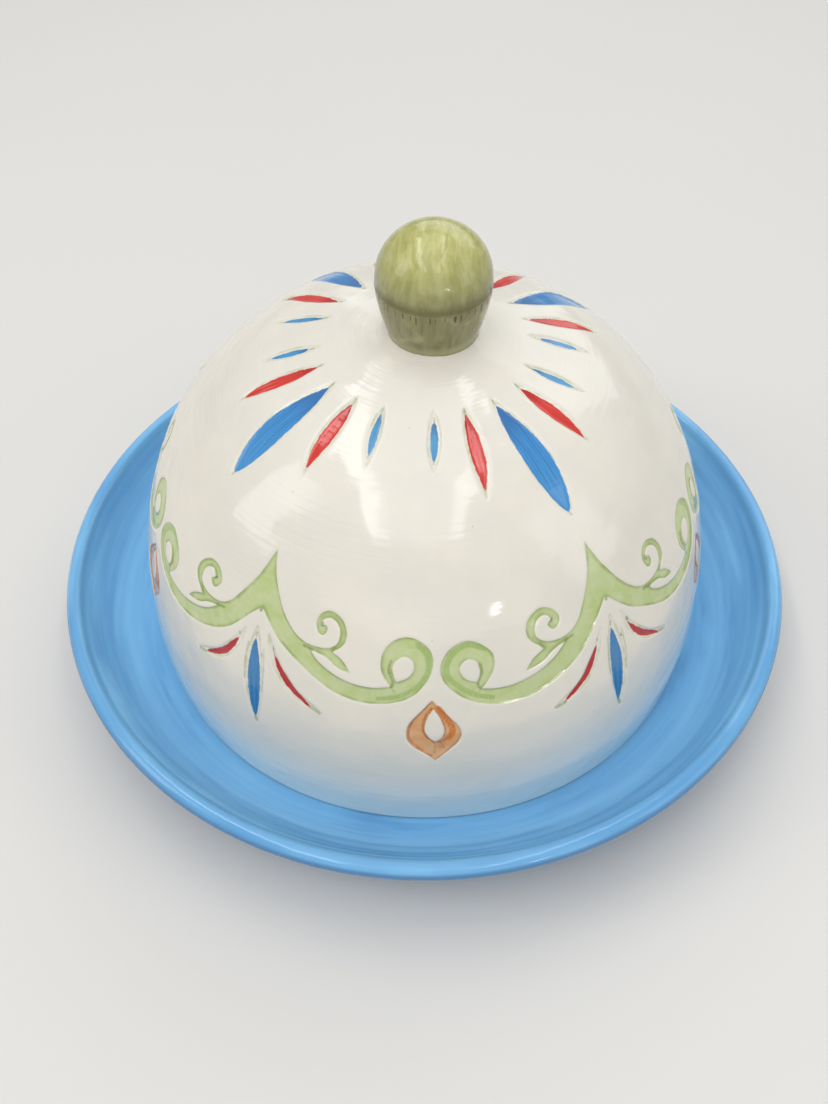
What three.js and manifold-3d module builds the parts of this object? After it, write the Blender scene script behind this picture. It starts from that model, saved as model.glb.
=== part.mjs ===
// Domed serving dish: a blue footed plate, a hollow dome lid that rests in its well, and a finger knob
// fixed on top of the lid. Millimetres, +Z up, origin at the centre of the foot ring's underside.
import * as THREE from 'three';
import { mergeVertices } from 'three/addons/utils/BufferGeometryUtils.js';
import Module from 'manifold-3d';

// ---- driving dimensions -------------------------------------------------------------------------

const PLATE_RADIUS = 125;
const RIM_HEIGHT = 34;          // top of the plate's lip above the table
const LIP_RADIUS = 3;           // the lip is a round bead
const WELL_DEPTH = 24.8;        // from the top of the lip down to the well's floor
const WELL_RADIUS = 95;         // flat part of the well
const SLOPE_POWER = 1.5;        // the side starts flat at the well and steepens towards the lip
const FOOT_HEIGHT = 3.2;
const FOOT_OUTER = 86;
const FOOT_INNER = 79;
const UNDERSIDE_POWER = 1.7;    // the underside follows the side a little more steeply
const FOOT_CHAMFER = 1.5;
const OUTER_STEP = 0.8;         // the underside starts this much higher outside the ring than inside it
const SLOPE_STEPS = 8;
const UNDERSIDE_STEPS = 6;
const LIP_STEPS = 8;

// The dome's outline as [radius, height above its foot]: upright at the widest ring, round at the
// shoulder, then a shallow cone that carries the knob.
const DOME_OUTLINE = [
  [94.3, 0], [95.5, 17], [94, 39.5], [90, 58.5], [82.4, 77], [70.7, 93.5],
  [54.8, 106.8], [39.6, 113.2], [16, 119.8], [0, 121.5],
];
const DOME_WALL = 5;
const DOME_LIP_ROUND = 1.2;
const DOME_STEPS = 17;          // stretches of the outer wall
const DOME_INNER_STEPS = 13;

const KNOB_OFFSET = 2.4;        // the knob sits a little off the dome's axis
const KNOB_BASE_RADIUS = 13.4;
const KNOB_CUP_RADIUS = 15.8;   // halfway up the cup
const KNOB_RIM_RADIUS = 16.8;   // the cup's rim, at the crease below the ball
const KNOB_BALL_RADIUS = 16.6;
const KNOB_CUP_HEIGHT = 8.5;    // heights above the dome's apex
const KNOB_RIM_HEIGHT = 15.9;
const KNOB_BALL_HEIGHT = 17.4;  // where the ball's round starts
const KNOB_HEIGHT = 33.3;
const KNOB_BALL_POWER = 1.06;   // the ball's outline is a slightly pointed round
const KNOB_BALL_STEPS = 8;
const KNOB_SEAT = 5;            // length of the knob's foot that the dome's crown cuts away

const GAP = 0.3;                // left between pieces that touch

const LATHE_SEGMENTS = 64;
const KNOB_SEGMENTS = 36;
const MERGE_DISTANCE = 1e-4;    // points closer than this are one point

const BLUE = 0x4f9ad6;
const CREAM = 0xece7da;
const OLIVE = 0x9a9a58;
const PLATE_ROUGHNESS = 0.15;
const DOME_ROUGHNESS = 0.12;
const KNOB_ROUGHNESS = 0.2;

// ---- helpers --------------------------------------------------------------------------------------

const deg = THREE.MathUtils.degToRad;

// A round stretch of an outline, from one angle to another about a centre.
function arc(centreR, centreZ, radius, fromDeg, toDeg, steps) {
  const points = [];
  for (let i = 0; i <= steps; i += 1) {
    const angle = deg(fromDeg + ((toDeg - fromDeg) * i) / steps);
    points.push([centreR + radius * Math.cos(angle), centreZ + radius * Math.sin(angle)]);
  }
  return points;
}

// Turns an outline of [radius, height] points about the vertical axis.
function turned(outline, segments) {
  const points = outline.map(([r, z]) => new THREE.Vector2(Math.max(r, 0), z));
  const geometry = new THREE.LatheGeometry(points, segments);
  geometry.rotateX(Math.PI / 2);
  return geometry;
}

const wasm = await Module();
wasm.setup();

// A closed geometry as a solid that can be cut.
function solid(geometry) {
  const bare = geometry.clone();
  bare.deleteAttribute('normal');
  bare.deleteAttribute('uv');
  const merged = mergeVertices(bare, MERGE_DISTANCE);
  const vertProperties = new Float32Array(merged.attributes.position.array);
  const triVerts = new Uint32Array(merged.index.array);
  return new wasm.Manifold(new wasm.Mesh({ numProp: 3, vertProperties, triVerts }));
}

function geometryOf(cutSolid) {
  const mesh = cutSolid.getMesh();
  const geometry = new THREE.BufferGeometry();
  geometry.setAttribute('position', new THREE.BufferAttribute(mesh.vertProperties, 3));
  geometry.setIndex(new THREE.BufferAttribute(mesh.triVerts, 1));
  geometry.computeVertexNormals();
  return geometry;
}

function piece(name, geometry, colour, roughness) {
  const material = new THREE.MeshStandardMaterial({ color: colour, roughness, metalness: 0 });
  const mesh = new THREE.Mesh(geometry, material);
  mesh.name = name;
  return mesh;
}

// ---- plate ----------------------------------------------------------------------------------------

const WELL_FLOOR = RIM_HEIGHT - WELL_DEPTH;
const LIP_CENTRE = PLATE_RADIUS - LIP_RADIUS;

const LIP_FROM_DEG = -75;       // where the underside runs into the lip's bead
const LIP_TO_DEG = 140;         // where the bead runs into the slope
const SLOPE_TOP_RADIUS = LIP_CENTRE + LIP_RADIUS * Math.cos(deg(LIP_TO_DEG));
const SLOPE_TOP_HEIGHT = RIM_HEIGHT - LIP_RADIUS + LIP_RADIUS * Math.sin(deg(LIP_TO_DEG));

// Height of the plate's upper side between the well and the lip.
function slopeHeight(r) {
  const fraction = (r - WELL_RADIUS) / (SLOPE_TOP_RADIUS - WELL_RADIUS);
  return WELL_FLOOR + (SLOPE_TOP_HEIGHT - WELL_FLOOR) * fraction ** SLOPE_POWER;
}

function makePlate() {
  const outline = [[0, FOOT_HEIGHT], [FOOT_INNER - FOOT_CHAMFER, FOOT_HEIGHT]];
  outline.push([FOOT_INNER, 0], [FOOT_OUTER, 0]);
  const lipCentreHeight = RIM_HEIGHT - LIP_RADIUS;
  const startRadius = FOOT_OUTER + FOOT_CHAMFER;
  const startHeight = FOOT_HEIGHT + OUTER_STEP;
  const endRadius = LIP_CENTRE + LIP_RADIUS * Math.cos(deg(LIP_FROM_DEG));
  const endHeight = lipCentreHeight + LIP_RADIUS * Math.sin(deg(LIP_FROM_DEG));
  for (let i = 0; i < UNDERSIDE_STEPS; i += 1) {
    const t = i / UNDERSIDE_STEPS;
    const z = startHeight + (endHeight - startHeight) * t ** UNDERSIDE_POWER;
    outline.push([startRadius + (endRadius - startRadius) * t, z]);
  }
  outline.push(...arc(LIP_CENTRE, lipCentreHeight, LIP_RADIUS, LIP_FROM_DEG, LIP_TO_DEG, LIP_STEPS));
  for (let i = 1; i <= SLOPE_STEPS; i += 1) {
    const r = SLOPE_TOP_RADIUS + ((WELL_RADIUS - SLOPE_TOP_RADIUS) * i) / SLOPE_STEPS;
    outline.push([r, slopeHeight(r)]);
  }
  outline.push([0, WELL_FLOOR]);
  return piece('plate', turned(outline, LATHE_SEGMENTS), BLUE, PLATE_ROUGHNESS);
}

// ---- dome lid -------------------------------------------------------------------------------------

const DOME_BASE = WELL_FLOOR + GAP;
const DOME_APEX = DOME_BASE + DOME_OUTLINE[DOME_OUTLINE.length - 1][1];
const domeCurve = new THREE.SplineCurve(DOME_OUTLINE.map(([r, h]) => new THREE.Vector2(r, DOME_BASE + h)));

// The wall's outline from its foot to its apex, moved inwards by a wall thickness.
function domeWall(inset, steps) {
  const points = [];
  for (let i = 0; i <= steps; i += 1) {
    const at = domeCurve.getPointAt(i / steps);
    const along = domeCurve.getTangentAt(i / steps);
    points.push([at.x - along.y * inset, at.y + along.x * inset]);
  }
  points[0][1] = DOME_BASE + DOME_LIP_ROUND;
  points[steps] = [0, DOME_APEX - inset];
  return points;
}

function makeDome() {
  const outer = domeWall(0, DOME_STEPS);
  const inner = domeWall(DOME_WALL, DOME_INNER_STEPS).reverse();
  const outerFoot = [outer[0][0] - DOME_LIP_ROUND, DOME_BASE];
  const innerFoot = [inner[DOME_INNER_STEPS][0] + DOME_LIP_ROUND, DOME_BASE];
  const outline = [...inner, innerFoot, outerFoot, ...outer];
  return piece('dome_lid', turned(outline, LATHE_SEGMENTS), CREAM, DOME_ROUGHNESS);
}

// ---- knob -----------------------------------------------------------------------------------------

// The dome's crown, raised by the gap, which shapes the knob's underside.
function crown() {
  const wall = domeWall(-GAP, DOME_STEPS);
  return turned([[0, DOME_BASE], [wall[0][0], DOME_BASE], ...wall], LATHE_SEGMENTS);
}

function makeKnob() {
  const outline = [[0, -KNOB_SEAT], [KNOB_BASE_RADIUS, -KNOB_SEAT], [KNOB_BASE_RADIUS, 0]];
  outline.push([KNOB_CUP_RADIUS, KNOB_CUP_HEIGHT], [KNOB_RIM_RADIUS, KNOB_RIM_HEIGHT]);
  for (let i = 0; i < KNOB_BALL_STEPS; i += 1) {
    const angle = deg((90 * i) / KNOB_BALL_STEPS);
    const r = KNOB_BALL_RADIUS * Math.cos(angle) ** KNOB_BALL_POWER;
    outline.push([r, KNOB_BALL_HEIGHT + (KNOB_HEIGHT - KNOB_BALL_HEIGHT) * Math.sin(angle)]);
  }
  outline.push([0, KNOB_HEIGHT]);
  const whole = turned(outline, KNOB_SEGMENTS);
  whole.translate(KNOB_OFFSET, 0, DOME_APEX);
  const seated = solid(whole).subtract(solid(crown()));
  return piece('knob', geometryOf(seated), OLIVE, KNOB_ROUGHNESS);
}

// ---- assembly -------------------------------------------------------------------------------------

const lid = new THREE.Group();
lid.add(makeDome(), makeKnob());

const group = new THREE.Group();
group.add(makePlate(), lid);

export default group;
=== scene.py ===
import math

import bmesh
import bpy
import numpy as np
from mathutils import Matrix, Vector, geometry


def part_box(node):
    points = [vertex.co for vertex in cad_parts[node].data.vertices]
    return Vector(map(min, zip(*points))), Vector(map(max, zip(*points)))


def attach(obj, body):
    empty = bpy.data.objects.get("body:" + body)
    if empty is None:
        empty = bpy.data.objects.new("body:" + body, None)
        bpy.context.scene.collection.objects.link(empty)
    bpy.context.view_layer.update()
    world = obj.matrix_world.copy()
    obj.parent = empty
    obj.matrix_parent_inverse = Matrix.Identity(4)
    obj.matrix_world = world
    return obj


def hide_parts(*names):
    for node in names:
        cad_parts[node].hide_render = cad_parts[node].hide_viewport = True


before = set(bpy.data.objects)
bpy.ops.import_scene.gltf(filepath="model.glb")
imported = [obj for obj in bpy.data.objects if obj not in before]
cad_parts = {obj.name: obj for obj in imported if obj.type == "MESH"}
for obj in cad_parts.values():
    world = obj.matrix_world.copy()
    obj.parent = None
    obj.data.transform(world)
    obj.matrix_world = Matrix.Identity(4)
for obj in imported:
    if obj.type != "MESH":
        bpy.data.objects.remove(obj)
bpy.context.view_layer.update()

MM = 0.001

# ---- driving dimensions, in millimetres --------------------------------------

DOME_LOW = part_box("dome_lid")[0]
PLATE_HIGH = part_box("plate")[1]
KNOB_LOW, KNOB_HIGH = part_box("knob")

DOME_BASE = DOME_LOW.z / MM
PLATE_RADIUS = PLATE_HIGH.x / MM
RIM_HEIGHT = PLATE_HIGH.z / MM
KNOB_X = (KNOB_LOW.x + KNOB_HIGH.x) / 2 / MM
KNOB_TOP = KNOB_HIGH.z / MM

# The dome's outline, [radius, height above its foot], as in the CAD.
DOME_OUTLINE = [
    (94.3, 0), (95.5, 17), (94, 39.5), (90, 58.5), (82.4, 77), (70.7, 93.5),
    (54.8, 106.8), (39.6, 113.2), (16, 119.8), (0, 121.5),
]
DOME_WALL = 5.0
FOOT_ROUND = 1.2
APEX = DOME_BASE + DOME_OUTLINE[-1][1]

LIP_RADIUS = 3.0          # the plate's lip is a round bead
LIP_FROM, LIP_TO = -75, 140    # degrees round the bead, from the underside to the slope
WELL_DEPTH = 24.8         # from the top of the lip
WELL_FLOOR = RIM_HEIGHT - WELL_DEPTH
WELL_RADIUS = 95.0
SLOPE_POWER = 1.5
UNDERSIDE_POWER = 1.7
FOOT_HEIGHT = 3.2
FOOT_OUTER = 86.0
FOOT_INNER = 79.0
FOOT_EDGE = 1.0           # round of the foot ring's edges
LIP_R, LIP_Z = PLATE_RADIUS - LIP_RADIUS, RIM_HEIGHT - LIP_RADIUS

KNOB_HEIGHT = KNOB_TOP - APEX
KNOB_BASE_RADIUS = 13.4
CREASE_HEIGHT = APEX + 15.9    # the crease between the knob's cup and its ball
BALL_RADIUS = 16.62
BALL_START = 17.4         # above the apex
BALL_POWER = 1.06         # the ball's outline is a slightly pointed round
KNOB_WOBBLE = 0.12 / 17    # how far the knob is from round, as a share of its radius
KNOB_SINK = 0.1           # the knob's foot lies this deep in the dome's glaze
KNOB_TICKS = 42           # brush ticks round the knob, before some are left out
KNOB_FILLET = 0.75        # height and width of the glaze that fills the corner round the knob

RELIEF_DEPTH = 0.45       # of the moulded pockets that hold the paint
RELIEF_START, RELIEF_WIDTH = 0.5, 1.4    # a pocket's wall starts outside its outline and is this wide
RELIEF_LIP = 0.06         # the soft swelling round each pocket
LIP_AT, LIP_SPREAD = 0.9, 0.5    # its distance from the outline and its width
RING_STEP = 1.5           # degrees between the dome's shared ring vertices
BAND_TOP = 101.5          # arc height where the scroll band meets the petal crown
PEAK_AZIMUTH = -33.9      # of the first scroll peak; azimuth 0 is the front, + is to the right
SCROLLS = 5
SECTOR = 360 / SCROLLS
SEAM = -35.7              # the sector's left edge, from its peak, in the gap between two curls
SEAM_REACH = 3.0          # degrees beside a seam that the next sector's curl can shape
# The scrolls are hand-carved: round these azimuths they sit lower, by this many mm, over this many degrees.
SAGS = [(-60, 4.0, 14), (60, 1.6, 14)]
SAG_EVERYWHERE = 0.35
SAG_FADE = (50, 74)       # the sag sets in between these arc heights
SAG_TOP = 88              # and fades out from here to the band's top
CROWN_INNER = 8.0         # radius of the plain cap below the knob
CAP_STEPS = 40
CROWN_START = PEAK_AZIMUTH + SEAM + RING_STEP * 41    # first side of the crown's four quarters
FAR = 9.0                 # distances to the decoration are cut off here

OFFSETS = (-0.7, -0.35, 0.35, 0.75, 1.2)    # rows of vertices beside the relief's outlines, in mm
EDGE_STEP = 0.85          # between vertices along the outlines
OPEN_STEP = 2.0           # between vertices on open ground
FILL_OFFSETS = (-1.2, -0.6, 0.6, 1.2)    # rows beside the painted leaves' edges
ROW_GAP, OPEN_GAP = 0.3, 0.9    # least distance between vertices in rows, and on open ground
FILL_MARGIN = 0.45        # such rows keep this far from the edge
OFFSET_SHARE = 0.85       # a row's points that come nearer than this share of its offset are dropped
CLEARANCE = 1.5           # between open ground's vertices and the outlines
KNOB_RINGS = (            # rings of vertices round the knob's foot: radius, step in degrees
    (12.4, 4.76), (13.1, 4.48), (13.7, 4.48), (14.3, 4.48), (15.1, 4.76), (16.2, 5.04),
)
CORNER = 0.6              # radians; a sharper turn of an outline stays a corner
CHUNK = 4000              # points measured at a time
NEAR_CELL = 0.9           # size of the grid cells that find close vertices
INNER_ROWS = 26           # rings of vertices on the dome's inner wall
BARE_ROWS = (2, 8)        # rows of faces at the dome's foot that are left unglazed
UNDERSIDE_ROWS = 20
SLOPE_ROWS = 44
BALL_ROWS = 32


# ---- outlines and the dome's surface -----------------------------------------

def spline(points, steps=8):
    """A smooth open line through the points."""
    p = np.array(points, float)
    last = len(p) - 1
    out = []
    for i in range(last):
        p0, p1, p2, p3 = p[max(i - 1, 0)], p[i], p[i + 1], p[min(i + 2, last)]
        t = (np.arange(steps) / steps)[:, None]
        m1, m2 = (p2 - p0) / 2, (p3 - p1) / 2
        out.append((2 * p1 - 2 * p2 + m1 + m2) * t**3 + (-3 * p1 + 3 * p2 - 2 * m1 - m2) * t**2 + m1 * t + p1)
    return np.vstack(out + [p[-1:]])


def pairs(u, v):
    """Points of azimuths and arc heights; either may be a single value."""
    return np.stack(np.broadcast_arrays(u, v), 1)


def closed(runs):
    """A closed outline of smooth runs that meet in corners; each run starts where the last one ended."""
    out = [spline([runs[-1][-1]] + runs[0])]
    for before, run in zip(runs, runs[1:]):
        out.append(spline([before[-1]] + run)[1:])
    return np.vstack(out)


PROFILE = spline(DOME_OUTLINE, 200) + [0, DOME_BASE]
ARC = np.concatenate([[0], np.cumsum(np.hypot(*np.diff(PROFILE, axis=0).T))])


def at(v):
    """Radius and height of the dome's outside at arc height v from its foot."""
    return np.interp(v, ARC, PROFILE[:, 0]), np.interp(v, ARC, PROFILE[:, 1])


def arc_at_radius(r):
    """Arc height on the crown for a radius (above the widest ring)."""
    top = PROFILE[:, 0].argmax()
    return np.interp(-r, -PROFILE[top:, 0], ARC[top:])


def slope(v):
    """Unit outward normal of the outline at arc height v, as (radial, upward)."""
    r0, z0 = at(np.clip(v - 0.4, 0, ARC[-1]))
    r1, z1 = at(np.clip(v + 0.4, 0, ARC[-1]))
    size = np.hypot(r1 - r0, z1 - z0)
    return (z1 - z0) / size, (r0 - r1) / size


def on_dome(uv, lift):
    """Points of the dome's surface, lifted along the normal."""
    r, z = at(uv[:, 1])
    nr, nz = slope(uv[:, 1])
    r, z = r + nr * lift, z + nz * lift
    a = np.radians(uv[:, 0])
    return np.stack([r * np.sin(a), -r * np.cos(a), z], 1)


def carved(uv):
    """World azimuths and arc heights after the carver's small unevenness."""
    def ramp(low, high):
        t = np.clip((uv[:, 1] - low) / (high - low), 0, 1)
        return t * t * (3 - 2 * t)

    away = (uv[:, 0] + 180) % 360 - 180
    dips = [depth * np.exp(-(((away - middle) / width) ** 2) / 2) for middle, depth, width in SAGS]
    sag = SAG_EVERYWHERE + sum(dips)
    return pairs(uv[:, 0], uv[:, 1] - sag * ramp(*SAG_FADE) * (1 - ramp(SAG_TOP, BAND_TOP)))


def per_degree(v):
    """Millimetres round the dome for a degree of azimuth at arc height v."""
    return np.radians(1) * np.maximum(at(v)[0], 4)


def beside(line, offset):
    """Points beside a line, to its left, at an offset in mm."""
    k = per_degree(line[:, 1])
    d = np.gradient(line, axis=0) * pairs(k, 1.0)
    d /= np.maximum(np.linalg.norm(d, axis=1), 1e-9)[:, None]
    return line + pairs(-d[:, 1] / k, d[:, 0]) * offset


def along(line):
    """Length in mm from the start of a line to each of its points."""
    steps = np.hypot(np.diff(line[:, 0]) * per_degree(line[:, 1])[1:], np.diff(line[:, 1]))
    return np.concatenate([[0], np.cumsum(steps)])


# ---- the decoration, as (azimuth from the sector's peak in degrees, arc height in mm) --------------

SCROLL = closed([
    # down the right branch and round its small curl
    [(0.6, 94), (1.8, 89.8), (3.6, 85.1), (5, 81.6), (6.7, 78.4), (8.7, 75.6), (11, 73.9), (13.6, 73.6),
     (15.8, 74.3), (17.3, 76.2), (17.7, 79.4), (17, 82.3), (15.5, 83.5), (14, 82.6), (13.7, 80.8)],
    [(14.8, 80.9), (15, 79), (14.2, 77.7), (13.1, 78.6), (12.6, 81.6), (13.6, 84.5), (15.5, 85.5),
     (17.8, 83.8), (19, 80.1), (18.6, 76.4), (16.6, 73.4)],
    # the leaf and the eye behind it
    [(18.7, 71.3), (20.3, 67.8)],
    [(17.8, 68.6), (15.4, 71.2), (12.2, 72.2)],
    # along the stem to the right big curl, round it and back below
    [(13.5, 69.6), (16, 67), (18.9, 65), (21.9, 64), (24.9, 64), (27.9, 65)],
    [(26.4, 69), (25.9, 72.6), (26.4, 76.6), (27.9, 79.6), (29.9, 81.1), (31.9, 81.1), (33.8, 79.6),
     (35.3, 77.1), (35.8, 73.6), (35.3, 69.6), (33.8, 65.5), (31.9, 62), (28.9, 59.5), (25.9, 58.4),
     (22.9, 58.1), (19.9, 58.7), (16.9, 60.2), (13.9, 62.7), (11, 65.6), (7.8, 68.8), (5.5, 71.4),
     (3.2, 75), (0.5, 79.4)],
    # the left branch, its big curl, and back along the stem
    [(-2.2, 74.8), (-5.8, 67.8), (-9.7, 62.9), (-13.9, 59.4), (-17.9, 57.3), (-21.8, 56.6), (-25.8, 57.4),
     (-29.8, 59.9), (-32.8, 63.9), (-34.6, 68.2), (-34.9, 72.4), (-33.8, 76.3), (-31.7, 78.9),
     (-29.3, 79.6), (-26.8, 77.8), (-25, 74.8), (-24.7, 71.4), (-25.6, 67.4), (-27.3, 63.5)],
    [(-24.8, 62.8), (-21.9, 62.7), (-18.9, 63.6), (-15.9, 65.2), (-12.9, 67.9), (-10, 71.9)],
    [(-12.8, 70.6), (-15.4, 67.8), (-18.8, 66.3)],
    [(-17.3, 69.6), (-14.7, 72.1)],
    # the left small curl, and up to the peak
    [(-17.2, 75.6), (-18, 79.1), (-17.1, 82.5), (-14.6, 84.6), (-12, 83.4), (-10.6, 80.2), (-11.3, 77.7),
     (-12.5, 77), (-13.4, 79.1), (-12.5, 80)],
    [(-13, 81.6), (-14.2, 82.3), (-15.5, 81.2), (-16.2, 78.6), (-15.8, 75.9), (-14, 73.9), (-11.2, 73.3),
     (-8.8, 74.2), (-6.6, 77), (-4.6, 81.8), (-2.2, 88), (-0.9, 93), (0, 96.8)],
])
CURL_HOLES = [
    closed([[
        (28.2, 70.4), (28.6, 73.4), (30.2, 75.3), (31.7, 74.3), (32.2, 71.6), (31.1, 68.5), (29, 66.8),
    ]]),
    closed([[
        (-30.2, 67.4), (-31.3, 70.4), (-30.8, 73), (-29.3, 73.9), (-27.9, 72.4), (-27.6, 69.1), (-28.2, 66),
    ]]),
]
DROP_AT = 36.0
DROP = closed([
    [(1.3, 57), (2.9, 53.6), (4.3, 50.3), (4.8, 47.3), (4.5, 44.8), (3.4, 42), (1.9, 39.2), (0.7, 37),
     (0.1, 35.2)],
    [(-0.6, 37.2), (-2.3, 39.8), (-4, 42.4), (-4.9, 45), (-5.1, 48), (-4.8, 50.8), (-3.7, 54),
     (-2.1, 57.2), (-0.5, 60.6)],
])
DROP_HOLE = closed([
    [(0.9, 54.2), (1.6, 50.8), (1.7, 48), (1.1, 45.7), (0.1, 44.6), (-0.9, 45.8), (-1.7, 48.5), (-1.7, 51.5),
     (-1.1, 54.8), (-0.3, 57.6)],
])

BLUE, RED = (72, 146, 206), (214, 66, 58)
TEAL = (78, 152, 200)
DEEP_BLUE, DEEP_RED = (58, 132, 188), (184, 22, 28)
OLIVE, GREY_GREEN, DARK_GREEN = (128, 148, 78), (150, 163, 116), (84, 98, 58)
ORANGE, BROWN, TAN = (206, 112, 22), (166, 94, 52), (208, 160, 82)

# Painted leaves under each peak: centre line of the paint, its half width, that of the pocket, colour.
FAN = [
    ([(0.4, 68.2), (0.8, 55), (1.3, 35.6)], 2.3, [(0.5, 73), (0.9, 54), (1.6, 33.6)], 3.1, DEEP_BLUE),
    ([(4.65, 66.2), (7, 59.7), (9.4, 55.6), (13.2, 50.9)], 1.15,
     [(3.2, 72), (4.6, 66), (7.1, 59.6), (10.2, 54.4), (15.6, 49.9)], 1.65, DEEP_RED),
    ([(-3.4, 65.8), (-5, 60.4), (-7.2, 55), (-11.6, 49.4)], 1.2,
     [(-2.1, 70.5), (-3.4, 64.8), (-5.3, 59.2), (-8, 53.6), (-13.8, 48.6)], 1.7, DEEP_RED),
]

# Fine brush strokes: points, half width, colour, strength. The drop's are given from its own centre.
DROP_INK = [
    ([(0.6, 57.8), (2.1, 53.6), (3.1, 50), (3.1, 47.2), (2.4, 45.3)], 0.95, ORANGE, 1.0),
    ([(-1, 59.3), (-2.7, 55.6), (-4.2, 51.6), (-4.7, 48), (-4.4, 44.6), (-2.9, 41.4), (-0.4, 37.6)],
     0.26, BROWN, 0.9),
    ([(-0.4, 57.9), (-1.5, 55), (-2.05, 51.6), (-2, 48.6), (-1.3, 46), (-0.5, 44.8)],
     0.36, (176, 104, 36), 0.95),
    ([(0.6, 56), (1.4, 52.6), (1.9, 49.4), (1.6, 46.4)], 0.24, (172, 108, 76), 0.8),
    ([(0.15, 43.8), (0.1, 40), (0.1, 38)], 0.2, BROWN, 0.9),
    ([(0.9, 44), (1.7, 41.2)], 0.3, BROWN, 0.75),
    ([(-0.3, 43.9), (0.5, 44)], 0.42, (150, 84, 50), 0.85),
    ([(2, 45), (1.3, 44.4)], 0.4, (178, 102, 40), 0.7),
    ([(4.5, 47), (3.9, 43.6), (2.3, 40.4), (0.6, 37)], 0.22, (146, 126, 98), 0.8),
    ([(-0.5, 59.9), (-0.3, 58.7)], 0.6, TAN, 0.9),
]
SECTOR_INK = [
    ([(4.5, 68.4), (4.7, 66.4)], 0.34, DARK_GREEN, 0.75),
    ([(2.35, 64), (2.4, 63.1)], 0.26, DARK_GREEN, 0.8),
    ([(-3.4, 67.6), (-3.3, 66.4)], 0.3, DARK_GREEN, 0.6),
    ([(0.45, 70.4), (0.45, 69)], 0.34, GREY_GREEN, 0.9),
    ([(1.3, 36.2), (1.6, 34.6)], 0.6, (128, 156, 112), 0.7),
    ([(13, 51.2), (15, 50)], 0.45, GREY_GREEN, 0.8),
    ([(-11.4, 49.4), (-13.3, 48.7)], 0.5, GREY_GREEN, 0.8),
    ([(-0.9, 66), (-1.25, 58), (-1.1, 51)], 0.26, (146, 166, 110), 0.7),
    ([(2.6, 66), (3.1, 58), (3, 49)], 0.24, (146, 166, 110), 0.6),
    ([(0.5, 79), (0.5, 78.2)], 0.5, OLIVE, 0.9),
    ([(12.6, 72.3), (10.6, 72.5)], 0.5, OLIVE, 0.85),
    ([(16.4, 73.6), (17, 74.8)], 0.45, OLIVE, 0.75),
    ([(13.9, 81.4), (13.9, 80.6)], 0.36, DARK_GREEN, 0.75),
    ([(28, 64.6), (28.3, 66.4), (27.5, 70.4), (27.9, 73.6)], 0.42, OLIVE, 0.8),
    ([(32.8, 79.2), (34.6, 75.8), (34.9, 72), (34.1, 68), (32, 64.2), (29, 61.4), (25.6, 60)],
     0.75, (150, 178, 98), 0.8),
    ([(-10.2, 72), (-8.4, 72.4)], 0.5, OLIVE, 0.8),
    ([(-14.9, 72.4), (-15.4, 74)], 0.4, OLIVE, 0.7),
    ([(-12.6, 79.6), (-12.2, 80.3)], 0.34, DARK_GREEN, 0.75),
    ([(-27.6, 63.2), (-28, 65.4), (-27.2, 69), (-27.6, 72.2)], 0.42, OLIVE, 0.75),
    ([(-26.3, 76.4), (-29.3, 78.2), (-31.9, 76.9), (-33.6, 73), (-33.7, 69.2), (-32, 65.6), (-29, 61.8),
      (-25.4, 59.4)], 0.85, (152, 180, 98), 0.8),
]

# The crown's petals, four of each kind: azimuth of the inner and the outer end for each petal.
# Kind: arc height of the paint's outer and inner end, half width, where it is widest, how blunt it is,
# and how far the pocket reaches beyond it at the outer end, the inner end and the sides.
PETALS = [
    (130, 142.2, 1.1, 0.5, 0.45, 3.4, 4.2, 0.9, TEAL,
     [(4.5, 3.25), (94.6, 93.1), (184.5, 183), (-85.5, -86.8)]),
    (129.8, 143.4, 1.15, 0.5, 0.7, 3.0, 3.0, 0.7, TEAL,
     [(-21.4, -19.4), (69.6, 71), (159.4, 160.9), (-110.3, -109)]),
    (119.6, 143, 2.1, 0.52, 0.75, 2.2, 2.6, 0.55, RED,
     [(-37.1, -36.6), (53.7, 55.5), (143.3, 144.6), (-126.6, -125.6)]),
    (105.9, 142.9, 4.1, 0.45, 0.75, 0.8, 2.6, 0.3, BLUE,
     [(-54, -55.6), (36.5, 37.8), (126, 126.5), (-144, -143.6)]),
    (119.7, 143.4, 2, 0.5, 0.75, 2, 2.4, 0.55, RED,
     [(-70.1, -74.2), (20.1, 17.7), (110, 107.2), (-160, -163)]),
]


def brush_leaf(line, half, lean=0.5, blunt=0.8):
    """A leaf-shaped outline round a centre line, with the widest place at the share lean."""
    c = spline(line, 10)
    x = along(c)
    t = x / x[-1]
    w = half * np.sin(np.pi * t ** (math.log(0.5) / math.log(lean)))[:, None] ** blunt
    return np.vstack([beside(c, w), beside(c, -w)[-2::-1]])


def resample(line, step):
    """The outline with even steps of about step mm, keeping its sharp corners."""
    k = per_degree(line[:, 1])
    flat = pairs(line[:, 0] * k.mean(), line[:, 1])
    d = np.diff(flat, axis=0)
    keep = np.hypot(*d.T) > 1e-6
    line = np.vstack([line[:1], line[1:][keep]])
    d = d[keep]
    turn = np.abs(np.angle(np.exp(1j * np.diff(np.arctan2(d[:, 1], d[:, 0])))))
    corners = [0] + [i + 1 for i in np.nonzero(turn > CORNER)[0]] + [len(line) - 1]
    out = []
    for a, b in zip(corners, corners[1:]):
        part = line[a:b + 1]
        x = along(part)
        n = max(1, round(x[-1] / step))
        s = np.linspace(0, x[-1], n + 1)[:-1]
        out.append(pairs(np.interp(s, x, part[:, 0]), np.interp(s, x, part[:, 1])))
    return np.vstack(out + [line[-1:]])


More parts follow.
